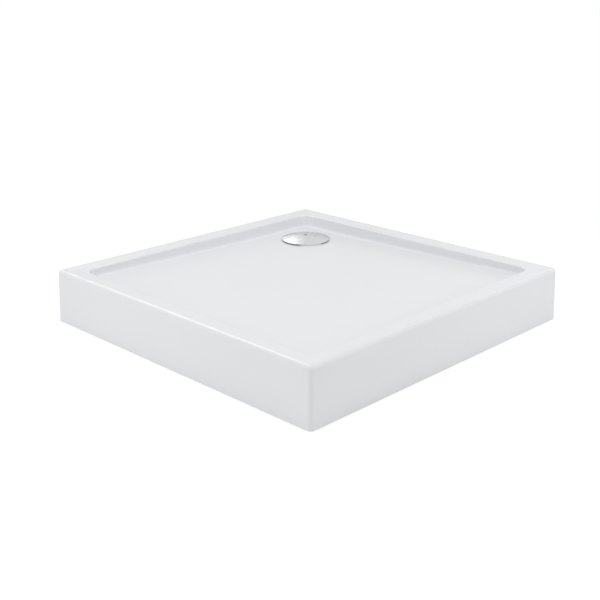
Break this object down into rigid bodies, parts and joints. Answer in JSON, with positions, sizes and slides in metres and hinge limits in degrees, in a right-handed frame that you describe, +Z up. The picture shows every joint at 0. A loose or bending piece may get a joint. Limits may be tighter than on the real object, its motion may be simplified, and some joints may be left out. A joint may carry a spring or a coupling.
{
  "type": "shower tray",
  "caption": "Square white acrylic shower tray with an apron on every side, a floor falling to a corner waste under a round chrome dome, on screw feet with its trap.",
  "frame": {"origin": "middle of the tray's plan, on the floor that its feet stand on", "axes": "+Z up; +X and +Y along the sides, with the waste near the +X +Y corner; the picture looks from the -X -Y corner"},
  "size_m": [0.8, 0.8, 0.121],
  "materials": {
    "acrylic": "gloss white acrylic, faintly cool",
    "glass_fibre": "rough sprayed glass fibre resin",
    "chipboard": "raw chipboard",
    "wood_block": "raw plywood blocks",
    "zinc_steel": "bright zinc plate",
    "chrome": "fine brushed chrome",
    "trap_plastic": "moulded white polypropylene",
    "insert_plastic": "moulded grey plastic",
    "strainer_plastic": "moulded pale plastic",
    "foot_plastic": "moulded black polypropylene",
    "seal_rubber": "matt black rubber"
  },
  "bodies": {
    "root": {"tray_shell": "acrylic", "glass_fibre_backing": "glass_fibre", "floor_board": "chipboard", "foot_blocks": "wood_block", "foot_plates": "zinc_steel", "plate_screws": "zinc_steel", "weld_nuts": "zinc_steel", "lock_nuts": "zinc_steel", "waste_flange": "chrome", "flange_gasket": "seal_rubber", "body_gasket": "seal_rubber", "trap_body": "trap_plastic", "trap_weir": "trap_plastic", "outlet_seal": "seal_rubber", "outlet_cap": "trap_plastic"},
    "outlet": {"outlet_spigot": "trap_plastic"},
    "insert": {"dip_tube": "insert_plastic", "dip_tube_o_ring": "seal_rubber"},
    "strainer": {"hair_strainer": "strainer_plastic"},
    "dome": {"drain_cover": "chrome", "cover_clip": "insert_plastic"},
    "pad_1": {"foot_pad_1": "foot_plastic"},
    "rod_1": {"foot_rod_1": "zinc_steel"},
    "pad_2": {"foot_pad_2": "foot_plastic"},
    "rod_2": {"foot_rod_2": "zinc_steel"},
    "pad_3": {"foot_pad_3": "foot_plastic"},
    "rod_3": {"foot_rod_3": "zinc_steel"},
    "pad_4": {"foot_pad_4": "foot_plastic"},
    "rod_4": {"foot_rod_4": "zinc_steel"},
    "pad_5": {"foot_pad_5": "foot_plastic"},
    "rod_5": {"foot_rod_5": "zinc_steel"}
  },
  "joints": [
    {"name": "outlet_swing", "type": "hinge", "parent": "root", "child": "outlet", "pos_m": [0.202, 0.202, 0.036], "axis": [0, 0, 1], "range_deg": [-10, 10]},
    {"name": "insert_lift", "type": "slide", "parent": "root", "child": "insert", "axis": [0, 0, 1], "range_m": [0, 0.11]},
    {"name": "strainer_lift", "type": "slide", "parent": "insert", "child": "strainer", "axis": [0, 0, 1], "range_m": [0, 0.08]},
    {"name": "dome_lift", "type": "slide", "parent": "strainer", "child": "dome", "axis": [0, 0, 1], "range_m": [0, 0.1]},
    {"name": "foot_1_travel", "type": "slide", "parent": "root", "child": "pad_1", "axis": [0, 0, -1], "range_m": [-0.007, 0.014]},
    {"name": "foot_1_spin", "type": "hinge", "parent": "pad_1", "child": "rod_1", "pos_m": [-0.24, -0.24, 0.03], "axis": [0, 0, -1], "range_deg": [-1440, 2880]},
    {"name": "foot_2_travel", "type": "slide", "parent": "root", "child": "pad_2", "axis": [0, 0, -1], "range_m": [-0.007, 0.014]},
    {"name": "foot_2_spin", "type": "hinge", "parent": "pad_2", "child": "rod_2", "pos_m": [0.24, -0.24, 0.03], "axis": [0, 0, -1], "range_deg": [-1440, 2880]},
    {"name": "foot_3_travel", "type": "slide", "parent": "root", "child": "pad_3", "axis": [0, 0, -1], "range_m": [-0.007, 0.014]},
    {"name": "foot_3_spin", "type": "hinge", "parent": "pad_3", "child": "rod_3", "pos_m": [-0.24, 0.24, 0.03], "axis": [0, 0, -1], "range_deg": [-1440, 2880]},
    {"name": "foot_4_travel", "type": "slide", "parent": "root", "child": "pad_4", "axis": [0, 0, -1], "range_m": [-0.007, 0.014]},
    {"name": "foot_4_spin", "type": "hinge", "parent": "pad_4", "child": "rod_4", "pos_m": [0.24, 0.08, 0.03], "axis": [0, 0, -1], "range_deg": [-1440, 2880]},
    {"name": "foot_5_travel", "type": "slide", "parent": "root", "child": "pad_5", "axis": [0, 0, -1], "range_m": [-0.007, 0.014]},
    {"name": "foot_5_spin", "type": "hinge", "parent": "pad_5", "child": "rod_5", "pos_m": [0.08, 0.24, 0.03], "axis": [0, 0, -1], "range_deg": [-1440, 2880]}
  ],
  "couplings": [
    {"joint": "foot_1_spin", "follows": "foot_1_travel", "rad_per_m": 3590.4},
    {"joint": "foot_2_spin", "follows": "foot_2_travel", "rad_per_m": 3590.4},
    {"joint": "foot_3_spin", "follows": "foot_3_travel", "rad_per_m": 3590.4},
    {"joint": "foot_4_spin", "follows": "foot_4_travel", "rad_per_m": 3590.4},
    {"joint": "foot_5_spin", "follows": "foot_5_travel", "rad_per_m": 3590.4}
  ]
}
